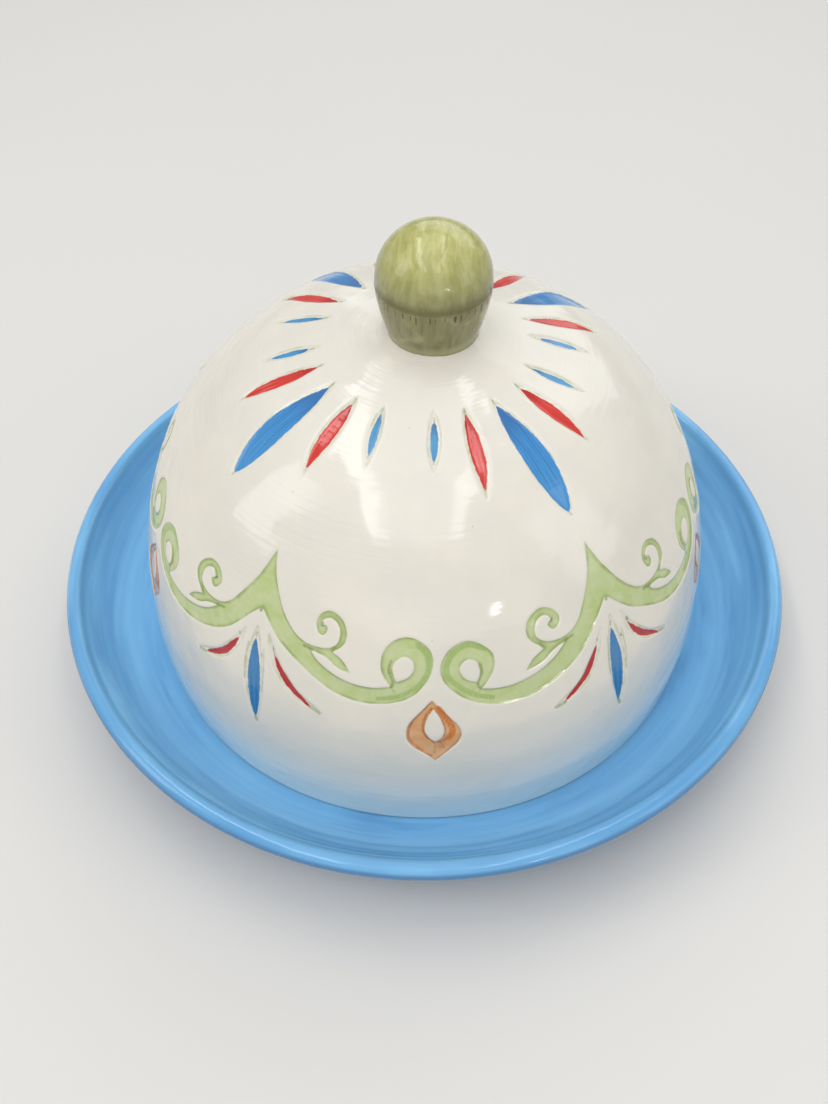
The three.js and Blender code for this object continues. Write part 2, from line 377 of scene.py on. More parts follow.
def to_line(q, line):
    """Distance in mm from each point q to the open line, and its share along it."""
    k = per_degree(q[:, 1])[:, None]
    best = np.full(len(q), 1e9)
    share = np.zeros(len(q))
    seg = np.arange(len(line) - 1) / max(len(line) - 1, 1)
    for lo in range(0, len(q), CHUNK):
        s = slice(lo, lo + CHUNK)
        ax, ay = (line[None, :, 0] - q[s, 0:1]) * k[s], line[None, :, 1] - q[s, 1:2]
        ux, uy = np.diff(ax, axis=1), np.diff(ay, axis=1)
        t = np.clip(-(ax[:, :-1] * ux + ay[:, :-1] * uy) / np.maximum(ux**2 + uy**2, 1e-12), 0, 1)
        d = np.hypot(ax[:, :-1] + t * ux, ay[:, :-1] + t * uy)
        i = d.argmin(1)
        n = np.arange(len(i))
        best[s] = d[n, i]
        share[s] = seg[i] + t[n, i] / max(len(line) - 1, 1)
    return best, share


def inside(q, loop):
    """Which points q lie inside a closed outline."""
    x, y = loop[:, 0], loop[:, 1]
    odd = np.zeros(len(q), bool)
    for x0, y0, x1, y1 in zip(x[:-1], y[:-1], x[1:], y[1:]):
        if y0 == y1:
            continue
        spans = (y0 > q[:, 1]) != (y1 > q[:, 1])
        odd ^= spans & (q[:, 0] < (x1 - x0) * (q[:, 1] - y0) / (y1 - y0) + x0)
    return odd


def signed(q, loops):
    """Distance to the nearest outline of a shape, negative inside it. Loops within loops are holes."""
    out = np.full(len(q), FAR)
    low = np.min([p.min(0) for p in loops], 0) - [FAR, FAR]
    high = np.max([p.max(0) for p in loops], 0) + [FAR, FAR]
    near = np.nonzero(((q > low) & (q < high)).all(1))[0]
    if not len(near):
        return out
    p = q[near]
    d = np.min([to_line(p, loop)[0] for loop in loops], 0)
    odd = np.zeros(len(p), bool)
    for loop in loops:
        odd ^= inside(p, loop)
    out[near] = np.where(odd, -d, np.minimum(d, FAR))
    return out


# ---- the marks of one sector and of the crown --------------------------------

LAYERS = ("scroll", "drop", "pocket", "fill", "ink")    # the layers that the materials read
RELIEF = ("scroll", "drop", "pocket")


def shifted(line, du):
    """The line moved round the dome by du degrees."""
    return np.asarray(line, float) + [du, 0]


def sector_marks():
    """Everything on one scroll sector; the drop appears at both sides so that it meets its neighbour."""
    marks = {"scroll": [[SCROLL] + CURL_HOLES], "drop": [], "pocket": [], "fill": [], "ink": []}
    for side in (DROP_AT, DROP_AT - SECTOR):
        marks["drop"].append([shifted(DROP, side), shifted(DROP_HOLE, side)])
        for line, half, colour, strength in DROP_INK:
            marks["ink"].append((spline(shifted(line, side)), half, colour, strength))
    for line, half, pocket_line, pocket_half, colour in FAN:
        marks["fill"].append((brush_leaf(line, half, 0.5, 0.7), spline(line), colour, 0.0))
        marks["pocket"].append([brush_leaf(pocket_line, pocket_half)])
    for line, half, colour, strength in SECTOR_INK:
        marks["ink"].append((spline(line), half, colour, strength))
    return marks


def crown_marks(low, high):
    """The petals between two azimuths."""
    marks = {"scroll": [], "drop": [], "pocket": [], "fill": [], "ink": []}
    for v_out, v_in, half, lean, blunt, more_out, more_in, margin, colour, places in PETALS:
        for u_in, u_out in places:
            for turn in (0, 360):
                middle = (u_in + u_out) / 2 + turn
                if not low < middle < high:
                    continue
                u0, u1 = u_in + turn, u_out + turn
                lean_per_mm = (u1 - u0) / (v_in - v_out)
                line = [(u1, v_out), (middle, (v_out + v_in) / 2), (u0, v_in)]
                pocket = [
                    (u1 + lean_per_mm * more_out, v_out - more_out),
                    (middle, (v_out + v_in) / 2),
                    (u0 - lean_per_mm * more_in, v_in + more_in),
                ]
                marks["fill"].append((brush_leaf(line, half, lean, blunt), spline(line), colour, 1.0))
                marks["pocket"].append([brush_leaf(pocket, half + margin, lean, 0.85)])
                tip = [(u0, v_in + 0.1), (u0 - lean_per_mm * 2, v_in + 1.7)]
                marks["ink"].append((spline(tip), 0.26, (142, 154, 100), 0.9))
                foot = [(u1, v_out), (u1 + lean_per_mm, v_out - 0.9)]
                marks["ink"].append((spline(foot), 0.24, (140, 162, 120), 0.7))
    return marks


def linear(rgb):
    """Linear colour of 0 to 255 display values."""
    c = np.array(rgb, float) / 255
    return np.where(c <= 0.04045, c / 12.92, ((c + 0.055) / 1.055) ** 2.4)


def measure(q, marks):
    """The painted layers at each point: signed distances, colours and the brush direction."""
    n = len(q)
    out = {name: np.full(n, FAR) for name in LAYERS}
    out["tint"] = np.tile(np.append(linear(BLUE), 1.0), (n, 1))
    out["ink_tint"] = np.tile(np.append(linear(OLIVE), 0.0), (n, 1))
    out["grain"] = np.zeros((n, 3))
    for name in RELIEF:
        for loops in marks[name]:
            out[name] = np.minimum(out[name], signed(q, loops))
    for i, (loop, line, colour, dark_end) in enumerate(marks["fill"]):
        d = signed(q, [loop])
        nearer = d < out["fill"]
        out["fill"] = np.minimum(out["fill"], d)
        across, share = to_line(q[nearer], line)
        out["tint"][nearer] = np.append(linear(colour), dark_end)
        out["grain"][nearer] = np.stack([across, share, np.full(len(share), i * 3.7)], 1)
    for line, half, colour, strength in marks["ink"]:
        d = to_line(q, line)[0] - half
        nearer = d < out["ink"]
        out["ink"] = np.minimum(out["ink"], d)
        out["ink_tint"][nearer] = np.append(linear(colour), strength)
    out["relief"] = np.minimum(np.minimum(out["scroll"], out["drop"]), out["pocket"])
    return out


def lift_of(relief):
    """Height of the moulded surface over the plain dome for a distance from the nearest pocket's edge."""
    t = np.clip((RELIEF_START - relief) / RELIEF_WIDTH, 0, 1)
    swelling = RELIEF_LIP * np.exp(-(((relief - LIP_AT) / LIP_SPREAD) ** 2))
    return -RELIEF_DEPTH * t * t * (3 - 2 * t) + swelling


# ---- meshing the dome's outside ----------------------------------------------

def scattered(marks, border, to_flat, open_points, keep_inside):
    """Vertices and fixed edges of one patch in its flat map: the outlines, rows beside them, open ground."""
    fixed, edges = [], []

    def add_line(line, is_closed):
        start = len(fixed)
        points = line[:-1] if is_closed else line
        fixed.extend(points)
        edges.extend((start + i, start + i + 1) for i in range(len(points) - 1))
        if is_closed:
            edges.append((start + len(points) - 1, start))

    add_line(border, True)
    rows = []
    for name in RELIEF:
        for loops in marks[name]:
            for loop in loops:
                even = resample(loop, EDGE_STEP)
                add_line(even, True)
                for offset in OFFSETS:
                    rows.append((abs(offset), beside(even, offset)))
                    rows.append((abs(offset), beside(even, -offset)))
    for loop, line, colour, dark_end in marks["fill"]:
        add_line(resample(loop, EDGE_STEP), True)
        rows.append((0, resample(line, EDGE_STEP)[1:-1]))
        for offset in FILL_OFFSETS:
            row = beside(resample(loop, EDGE_STEP), offset)
            rows.append((0, row[signed(row, [loop]) < -FILL_MARGIN]))
    for line, half, colour, strength in marks["ink"]:
        even = resample(line, EDGE_STEP)
        for offset in (-half, 0, half):
            rows.append((0, beside(even, offset)))
    fixed = np.array(fixed)
    loose = [(np.zeros(0), np.zeros((0, 2)))]
    for offset, points in rows:
        points = points[keep_inside(points)]
        if offset and len(points):
            d = np.abs(measure(points, {**marks, "fill": [], "ink": []})["relief"])
            points = points[d > OFFSET_SHARE * offset]
        loose.append((np.full(len(points), ROW_GAP), points))
    open_points = open_points[keep_inside(open_points)]
    d = measure(open_points, {**marks, "ink": []})
    clear = np.minimum(np.abs(d["relief"]), np.abs(d["fill"]))
    open_points = open_points[clear > CLEARANCE]
    loose.append((np.full(len(open_points), OPEN_GAP), open_points))
    gaps = np.concatenate([g for g, p in loose])
    points = np.vstack([p for g, p in loose])
    grid = {}
    flat_fixed, flat_loose = to_flat(fixed), to_flat(points)
    for x, y in flat_fixed:
        grid.setdefault((int(x // NEAR_CELL), int(y // NEAR_CELL)), []).append((x, y))
    kept = []
    for i, (x, y) in enumerate(flat_loose):
        cx, cy = int(x // NEAR_CELL), int(y // NEAR_CELL)
        gap = gaps[i] ** 2
        close = False
        for a in (cx - 1, cx, cx + 1):
            for b in (cy - 1, cy, cy + 1):
                for px, py in grid.get((a, b), ()):
                    if (px - x) ** 2 + (py - y) ** 2 < gap:
                        close = True
        if not close:
            grid.setdefault((cx, cy), []).append((x, y))
            kept.append(i)
    return np.vstack([flat_fixed, flat_loose[kept]]), edges


def triangulated(flat, edges):
    """Vertices and triangles of a flat patch with the given fixed edges."""
    made = geometry.delaunay_2d_cdt([Vector(p) for p in flat], edges, [], 0, 1e-5, False)
    return np.array([tuple(p) for p in made[0]]), np.array(made[2], int)


def open_ground(low, span, v_from, v_to):
    """Staggered rows of points over a stretch of the dome."""
    rows = []
    for i, v in enumerate(np.arange(v_from, v_to, OPEN_STEP * 0.87)):
        n = max(4, round(span * per_degree(v) / OPEN_STEP))
        u = low + (np.arange(n) + (0.5 if i % 2 else 0.0) + 0.25) / n * span
        rows.append(pairs(u, v))
    return rows


def sector_patch():
    """One scroll sector as (azimuth, arc height) vertices and triangles."""
    low, high = SEAM, SEAM + SECTOR
    bottom = FOOT_ROUND
    ring = np.linspace(low, high, round(SECTOR / RING_STEP) + 1)
    up = np.linspace(bottom, BAND_TOP, round((BAND_TOP - bottom) / OPEN_STEP) + 1)
    border = np.vstack([
        pairs(ring, bottom),
        pairs(high, up)[1:],
        pairs(ring[::-1], BAND_TOP)[1:],
        pairs(low, up[::-1])[1:],
    ])
    scale = np.array([1.5, 1.0])    # a degree is about 1.5 mm in the band
    rows = open_ground(low, SECTOR, bottom + 1.7, BAND_TOP - 1)
    marks = sector_marks()

    def keep(p):
        across = (p[:, 0] > low + 0.25) & (p[:, 0] < high - 0.25)
        return across & (p[:, 1] > bottom + 0.3) & (p[:, 1] < BAND_TOP - 0.4)

    flat, edges = scattered(marks, border, lambda p: p * scale, np.vstack(rows), keep)
    verts, faces = triangulated(flat, edges)
    verts = verts / scale
    middle = verts[faces].mean(1)
    across = (middle[:, 0] > low) & (middle[:, 0] < high)
    faces = faces[across & (middle[:, 1] > bottom) & (middle[:, 1] < BAND_TOP)]
    return tidy(verts, faces), marks


def crown_patch(low):
    """A quarter of the crown, triangulated as seen from above."""
    high = low + 90
    ring = np.linspace(low, high, round(90 / RING_STEP) + 1)
    small = np.linspace(low, high, CAP_STEPS // 4 + 1)
    outer_radius = float(at(BAND_TOP)[0])
    radii = np.linspace(outer_radius, CROWN_INNER, 26)
    side = arc_at_radius(radii)
    inner_arc = float(arc_at_radius(CROWN_INNER))
    border = np.vstack([
        pairs(ring, BAND_TOP),
        pairs(high, side)[1:-1],
        pairs(small[::-1], inner_arc),
        pairs(low, side[::-1])[1:],
    ])
    marks = crown_marks(low, high)
    rows = open_ground(low, 90, BAND_TOP + 1.6, inner_arc - 1.2)
    for around, step in KNOB_RINGS:
        a = np.radians(np.arange(0, 360, step))
        x, y = KNOB_X + around * np.cos(a), around * np.sin(a)
        u = np.degrees(np.arctan2(x, -y))
        u = low + (u - low) % 360
        rows.insert(0, pairs(u, arc_at_radius(np.hypot(x, y))))

    def keep(p):
        k = per_degree(p[:, 1])
        across = ((p[:, 0] - low) * k > 0.4) & ((high - p[:, 0]) * k > 0.4)
        return across & (p[:, 1] > BAND_TOP + 0.4) & (p[:, 1] < inner_arc - 0.4)

    def to_flat(p):
        r, a = at(p[:, 1])[0], np.radians(p[:, 0] - low)
        return pairs(r * np.cos(a), r * np.sin(a))

    flat, edges = scattered(marks, border, to_flat, np.vstack(rows), keep)
    verts, faces = triangulated(flat, edges)
    r = np.hypot(*verts.T)
    uv = pairs(low + np.degrees(np.arctan2(verts[:, 1], verts[:, 0])), arc_at_radius(r))
    middle = verts[faces].mean(1)
    radius, angle = np.hypot(*middle.T), np.degrees(np.arctan2(middle[:, 1], middle[:, 0]))
    ring_cut = math.cos(math.radians(small[1] - small[0]) / 2)
    faces = faces[(angle > 0) & (angle < 90) & (radius > CROWN_INNER * ring_cut)]
    on_ring = np.abs(r - outer_radius) < 0.02
    uv[on_ring, 1] = BAND_TOP
    return tidy(uv, faces), marks


def tidy(verts, faces):
    """Drops unused vertices and turns every triangle the same way."""
    a, b, c = verts[faces[:, 0]], verts[faces[:, 1]], verts[faces[:, 2]]
    area = (b[:, 0] - a[:, 0]) * (c[:, 1] - a[:, 1]) - (b[:, 1] - a[:, 1]) * (c[:, 0] - a[:, 0])
    faces = np.where((area < 0)[:, None], faces[:, ::-1], faces)[np.abs(area) > 1e-9]
    used = np.unique(faces)
    place = np.zeros(len(verts), int)
    place[used] = np.arange(len(used))
    return verts[used], place[faces]


def dome_mesh():
    """The dome's outside: vertices, triangles, and what the materials and the relief need at each vertex."""
    names = LAYERS + ("relief", "rise", "tint", "ink_tint", "grain")
    parts, layers, faces, count = [], {name: [] for name in names}, [], 0

    def add(uv, tri, data, turn):
        nonlocal count
        placed = carved(uv + [turn, 0])
        parts.append(on_dome(placed, shape(placed, data["relief"])))
        for name in layers:
            layers[name].append(uv[:, 1] if name == "rise" else data[name])
        faces.append(tri + count)
        count += len(uv)

    (uv, tri), marks = sector_patch()
    data = measure(uv, marks)
    # the next sector's curl shapes the ground across the seam
    for turn, edge in ((SECTOR, SEAM), (-SECTOR, SEAM + SECTOR)):
        near = np.abs(uv[:, 0] - edge) < SEAM_REACH
        over = signed(uv[near] + [turn, 0], [SCROLL])
        for name in ("scroll", "relief"):
            data[name][near] = np.minimum(data[name][near], over)
    for i in range(SCROLLS):
        add(uv, tri, data, PEAK_AZIMUTH + SECTOR * i)
    for i in range(4):
        (uv, tri), marks = crown_patch(CROWN_START + 90 * i)
        add(uv, tri, measure(uv, marks), 0)
    outside = np.vstack(parts)
    tri = np.vstack(faces)
    layers = {name: np.concatenate(values) for name, values in layers.items()}
    return outside, tri, layers


def shape(uv, relief):
    """All that lifts the dome's surface: the relief, the fillet round the knob, a slow waviness."""
    r, z = at(uv[:, 1])
    a = np.radians(uv[:, 0])
    x, y = r * np.sin(a), -r * np.cos(a)
    from_knob = np.hypot(x - KNOB_X, y) - KNOB_BASE_RADIUS
    fillet = KNOB_FILLET * np.exp(-np.clip(from_knob, 0, 20) / KNOB_FILLET)
    wave = 0.05 * np.sin(x * 0.09 + 1.3) * np.sin(y * 0.08) + 0.04 * np.sin(z * 0.13 + x * 0.05)
    wave *= np.clip((uv[:, 1] - FOOT_ROUND) / 12, 0, 1)    # none at the foot, which is ground flat
    return lift_of(relief) + fillet + wave


# ---- meshes ------------------------------------------------------------------

def new_object(name, verts, faces, materials):
    """A smooth-shaded object from vertices in millimetres."""
    mesh = bpy.data.meshes.new(name)
    places = [tuple(v) for v in np.asarray(verts) * MM]
    mesh.from_pydata(places, [], [tuple(int(i) for i in f) for f in faces])
    for m in materials:
        mesh.materials.append(m)
    mesh.polygons.foreach_set("use_smooth", [True] * len(mesh.polygons))
    mesh.update()
    obj = bpy.data.objects.new(name, mesh)
    bpy.context.scene.collection.objects.link(obj)
    return obj


def lathe(outline, azimuths, cap_first=False, cap_last=False):
    """Rings of the outline's [radius, height] points at the azimuths; caps close on the axis."""
    a = np.radians(azimuths)
    n = len(a)
    verts, faces = [], []
    for r, z in outline:
        verts.append(np.stack([r * np.sin(a), -r * np.cos(a), np.full(n, z)], 1))
    verts = np.vstack(verts)
    for i in range(len(outline) - 1):
        for j in range(n):
            k = (j + 1) % n
            faces.append((i * n + j, i * n + k, (i + 1) * n + k, (i + 1) * n + j))
    extra = []
    if cap_first:
        extra.append([0, 0, outline[0][1]])
        top = len(verts)
        faces += [(top, (j + 1) % n, j) for j in range(n)]
    if cap_last:
        top = len(verts) + len(extra)
        extra.append([0, 0, outline[-1][1]])
        base = (len(outline) - 1) * n
        faces += [(top, base + j, base + (j + 1) % n) for j in range(n)]
    if extra:
        verts = np.vstack([verts, extra])
    return verts, faces


def arc(r, z, radius, from_deg, to_deg, steps):
    """A round stretch of an outline about the centre (r, z)."""
    a = np.radians(np.linspace(from_deg, to_deg, steps + 1))
    return [(r + radius * math.cos(t), z + radius * math.sin(t)) for t in a]


def weld(obj, distance):
    """Joins vertices that lie together and turns all faces outwards."""
    bm = bmesh.new()
    bm.from_mesh(obj.data)
    bmesh.ops.remove_doubles(bm, verts=bm.verts, dist=distance)
    bmesh.ops.recalc_face_normals(bm, faces=bm.faces)
    bm.to_mesh(obj.data)
    bm.free()
    obj.data.update()


def set_layer(mesh, name, values, kind="FLOAT"):
    """Values at the vertices, for a material to read by name."""
    layer = mesh.attributes.new(name, kind, "POINT")
    key = {"FLOAT": "value", "FLOAT_VECTOR": "vector", "FLOAT_COLOR": "color"}[kind]
    layer.data.foreach_set(key, np.asarray(values, np.float32).ravel())


# ---- materials ---------------------------------------------------------------

class Glaze:
    """A material's node tree, built by small steps."""

    def __init__(self, name, roughness, specular=0.5):
        self.material = bpy.data.materials.new(name)
        self.material.use_nodes = True
        self.tree = self.material.node_tree
        self.shader = self.tree.nodes["Principled BSDF"]
        self.shader.inputs["Roughness"].default_value = roughness
        self.shader.inputs["IOR"].default_value = 1.5
        self.shader.inputs["Specular IOR Level"].default_value = specular
        self.place = self.add("ShaderNodeTexCoord").outputs["Object"]
        self.mm = self.scaled(self.place, (1 / MM, 1 / MM, 1 / MM))

    def add(self, kind, **settings):
        node = self.tree.nodes.new(kind)
        for key, value in settings.items():
            setattr(node, key, value)
        return node

    def feed(self, socket, value):
        if isinstance(value, bpy.types.NodeSocket):
            self.tree.links.new(value, socket)
        elif isinstance(value, tuple) and len(value) == 3 and socket.type == "RGBA":
            socket.default_value = (*value, 1)
        else:
            socket.default_value = value

    def math(self, operation, a, b=0.0, clamp=False):
        node = self.add("ShaderNodeMath", operation=operation, use_clamp=clamp)
        self.feed(node.inputs[0], a)
        self.feed(node.inputs[1], b)
        return node.outputs[0]

    def times(self, a, b):
        return self.math("MULTIPLY", a, b)

    def plus(self, a, b):
        return self.math("ADD", a, b)

    def attribute(self, name, output="Fac"):
        return self.add("ShaderNodeAttribute", attribute_name=name).outputs[output]

    def scaled(self, vector, scale):
        node = self.add("ShaderNodeVectorMath", operation="MULTIPLY")
        self.feed(node.inputs[0], vector)
        node.inputs[1].default_value = scale
        return node.outputs[0]

    def vector(self, x, y, z):
        node = self.add("ShaderNodeCombineXYZ")
        for socket, value in zip(node.inputs, (x, y, z)):
            self.feed(socket, value)
        return node.outputs[0]

    def parts(self, vector):
        node = self.add("ShaderNodeSeparateXYZ")
        self.feed(node.inputs[0], vector)
        return node.outputs

    def from_axis(self, x, y):
        """Distance from the upright axis."""
        return self.math("SQRT", self.plus(self.times(x, x), self.times(y, y)))

    def noise(self, vector, scale, detail=2.0, rough=0.5, warp=0.0):
        node = self.add("ShaderNodeTexNoise")
        self.feed(node.inputs["Vector"], vector)
        node.inputs["Scale"].default_value = scale
        node.inputs["Detail"].default_value = detail
        node.inputs["Roughness"].default_value = rough
        node.inputs["Distortion"].default_value = warp
        return node.outputs["Fac"]

    def ease(self, value, low, high, out_low=0.0, out_high=1.0):
        node = self.add("ShaderNodeMapRange", interpolation_type="SMOOTHSTEP")
        self.feed(node.inputs["Value"], value)
        node.inputs["From Min"].default_value = low
        node.inputs["From Max"].default_value = high
        node.inputs["To Min"].default_value = out_low
        node.inputs["To Max"].default_value = out_high
        return node.outputs[0]

    def mix(self, share, a, b, blend="MIX"):
        node = self.add("ShaderNodeMix", data_type="RGBA", blend_type=blend)
        self.feed(node.inputs["Factor"], share)
        self.feed(node.inputs["A"], a)
        self.feed(node.inputs["B"], b)
        return node.outputs["Result"]

    def bump(self, height, distance, strength=1.0, under=None):
        node = self.add("ShaderNodeBump")
        self.feed(node.inputs["Height"], height)
        node.inputs["Distance"].default_value = distance
        node.inputs["Strength"].default_value = strength
        if under is not None:
            self.feed(node.inputs["Normal"], under)
        return node.outputs[0]

    def colour(self, value):
        self.feed(self.shader.inputs["Base Color"], value)

    def normal(self, value):
        self.feed(self.shader.inputs["Normal"], value)


def rgb(*values):
    """A linear colour from 0 to 255 display values."""
    return tuple(float(c) for c in linear(values))


CREAM = (232, 227, 215)


def dome_glaze():
    g = Glaze("dome_glaze", 0.11)
    mm = g.mm
    wobble = g.math("SUBTRACT", g.noise(mm, 0.5, 3), 0.5)
    fine = g.noise(mm, 1.6, 3)
    broad = g.noise(mm, 0.035, 3)
    cloud = g.noise(mm, 0.16, 3)
    x, y, z = g.parts(mm)
    base = g.mix(g.ease(broad, 0.35, 0.65), rgb(*CREAM), rgb(227, 223, 212))
    base = g.mix(g.times(g.ease(cloud, 0.5, 0.8), 0.35), base, rgb(236, 231, 215))
    # painted light: the wall turns lighter towards its foot, where light from the plate reaches it
    base = g.mix(g.ease(z, DOME_BASE + 34, DOME_BASE + 6), base, rgb(242, 239, 230))

    def cover(distance, wander, soft=0.14):
        return g.ease(g.plus(distance, g.times(wobble, wander)), soft, -soft)

    # green scrolls: a thin wash that pools darker along the relief's edges
    scroll = g.attribute("scroll")
    green = g.mix(g.ease(cloud, 0.38, 0.66), rgb(196, 207, 155), rgb(186, 202, 134))
    green = g.mix(g.ease(g.noise(mm, 0.4, 3), 0.45, 0.75, 0.0, 0.5), green, rgb(206, 214, 176))
    pool = g.times(g.ease(scroll, -1.2, -0.05), g.ease(scroll, 0.35, 0.0))
    pool = g.times(pool, g.ease(g.noise(mm, 0.16, 2), 0.36, 0.62, 0.2, 0.8))
    green = g.mix(pool, green, rgb(140, 160, 96))
    colour = g.mix(cover(scroll, 0.35), base, green)

    # the drop's thin tan wash
    drop = g.attribute("drop")
    tan = g.mix(g.ease(cloud, 0.35, 0.7), rgb(225, 177, 129), rgb(214, 157, 102))
    edge = g.times(g.ease(drop, -0.45, -0.05), 0.55)
    tan = g.mix(edge, tan, rgb(188, 116, 66))
    colour = g.mix(cover(drop, 0.3), colour, tan)

    # pockets: a faint green-grey line where the glaze pools
    pocket = g.attribute("pocket")
    line = g.times(g.ease(pocket, -0.8, -0.15), g.ease(pocket, 0.35, 0.0))
    line = g.times(line, g.ease(g.noise(mm, 0.2, 2), 0.42, 0.68, 0.1, 0.6))
    colour = g.mix(line, colour, rgb(184, 196, 150))

    # painted leaves and petals, streaked along the brush
    fill = g.attribute("fill")
    grain = g.attribute("grain", "Vector")
    streak = g.noise(g.scaled(grain, (1.1, 2.2, 1.0)), 1.0, 3)
    tint = g.add("ShaderNodeAttribute", attribute_name="tint")
    deep = g.mix(1.0, tint.outputs["Color"], rgb(228, 222, 230), "MULTIPLY")
    pale = g.mix(0.24, tint.outputs["Color"], rgb(226, 226, 222))
    paint = g.mix(g.ease(streak, 0.3, 0.58), deep, tint.outputs["Color"])
    paint = g.mix(g.ease(streak, 0.54, 0.8, 0.0, 0.5), paint, pale)
    paint = g.mix(g.times(g.ease(fill, -0.35, 0.0), 0.3), paint, pale)
    dark_end = g.times(g.ease(g.parts(grain)[1], 0.56, 0.86, 0.0, 0.75), tint.outputs["Alpha"])
    darker = g.mix(1.0, tint.outputs["Color"], rgb(216, 188, 206), "MULTIPLY")
    paint = g.mix(dark_end, paint, darker)
    colour = g.mix(cover(fill, 0.8, 0.12), colour, paint)

    # fine strokes on top
    ink = g.attribute("ink")
    ink_tint = g.add("ShaderNodeAttribute", attribute_name="ink_tint")
    strength = g.times(ink_tint.outputs["Alpha"], g.ease(fine, 0.25, 0.6, 0.45, 1.0))
    colour = g.mix(g.times(cover(ink, 0.5, 0.3), strength), colour, ink_tint.outputs["Color"])

    # a few dark specks in the glaze
    specks = g.add("ShaderNodeTexVoronoi", feature="F1")
    g.feed(specks.inputs["Vector"], mm)
    specks.inputs["Scale"].default_value = 0.085
    speck = g.ease(specks.outputs["Distance"], 0.034, 0.018)
    colour = g.mix(g.times(speck, 0.28), colour, rgb(150, 142, 124))
    g.colour(colour)

    # uneven glaze over faint throwing ridges
    rise = g.times(g.attribute("rise"), 0.8)
    turned = g.vector(g.times(x, 0.015), g.times(y, 0.015), rise)
    soft = g.bump(g.noise(mm, 0.05, 2), 0.0016, 0.45)
    ripple = g.bump(g.noise(mm, 0.13, 1), 0.0004, 0.4, soft)
    g.normal(g.bump(g.noise(turned, 1.0, 1), 0.00009, 0.8, ripple))
    return g.material


def inner_glaze():
    g = Glaze("inner_glaze", 0.12)
    mm = g.mm
    tone = g.mix(g.ease(g.noise(mm, 0.06, 3), 0.35, 0.7), rgb(228, 225, 214), rgb(220, 217, 206))
    g.colour(tone)
    rings = g.noise(g.scaled(mm, (0.02, 0.02, 0.4)), 1.0, 2)
    g.normal(g.bump(rings, 0.0004, 0.5))
    return g.material


def bisque():
    g = Glaze("bisque", 0.85, specular=0.2)
    mm = g.mm
    tone = g.mix(g.noise(mm, 0.5, 4), rgb(214, 196, 168), rgb(196, 176, 146))
    grit = g.ease(g.noise(mm, 2.6, 2), 0.62, 0.72)
    g.colour(g.mix(g.times(grit, 0.5), tone, rgb(150, 122, 92)))
    g.normal(g.bump(g.noise(mm, 1.8, 4), 0.0002, 0.6))
    return g.material


def plate_glaze():
    g = Glaze("plate_glaze", 0.1)
    mm = g.mm
    x, y, z = g.parts(mm)
    radius = g.from_axis(x, y)
    across = g.plus(radius, g.times(z, 0.6))
    around = g.vector(g.math("DIVIDE", x, radius), g.math("DIVIDE", y, radius), across)
    brushed = g.noise(g.scaled(around, (1.3, 1.3, 0.3)), 1.0, 3, 0.5, 0.2)
    wide = g.noise(g.scaled(around, (2.2, 2.2, 0.1)), 1.0, 3)
    share = g.ease(brushed, 0.3, 0.7)
    tone = g.mix(share, rgb(97, 159, 210), rgb(111, 176, 224))
    # painted light: the slope is paler where it runs into the well, where the dome throws light and its
    # reflection down onto it
    pale = g.mix(share, rgb(132, 196, 245), rgb(142, 206, 251))
    tone = g.mix(g.ease(radius, 118.0, 104.0, 0.0, 0.9), tone, pale)
    tone = g.mix(g.ease(wide, 0.48, 0.78, 0.0, 0.6), tone, rgb(148, 211, 252))
    tone = g.mix(g.ease(wide, 0.48, 0.26, 0.0, 0.5), tone, rgb(84, 148, 206))
    # painted shade: the outer wall, below the lip, and everything below the well's floor are darker
    outer = g.ease(g.math("SUBTRACT", radius, z), 91.0, 93.2)
    outer = g.math("MAXIMUM", outer, g.ease(z, WELL_FLOOR - 0.2, WELL_FLOOR - 0.6))
    tone = g.mix(g.times(outer, 0.9), tone, rgb(66, 124, 176))
    # the lip's crest is lighter, partly thin glaze and partly painted highlight; the glaze runs thick in the
    # corner inside it
    crest_glaze_and_highlight = g.times(g.ease(z, RIM_HEIGHT - 1.4, RIM_HEIGHT - 0.1), 0.12)
    tone = g.mix(crest_glaze_and_highlight, tone, rgb(138, 200, 244))
    corner = g.times(g.ease(radius, 118.0, 119.6), g.ease(radius, 121.2, 119.9))
    tone = g.mix(g.times(corner, 0.4), tone, rgb(88, 150, 190))
    g.colour(tone)
    soft = g.bump(g.noise(mm, 0.05, 2), 0.0015, 0.3)
    g.normal(g.bump(brushed, 0.0003, 0.4, soft))
    return g.material


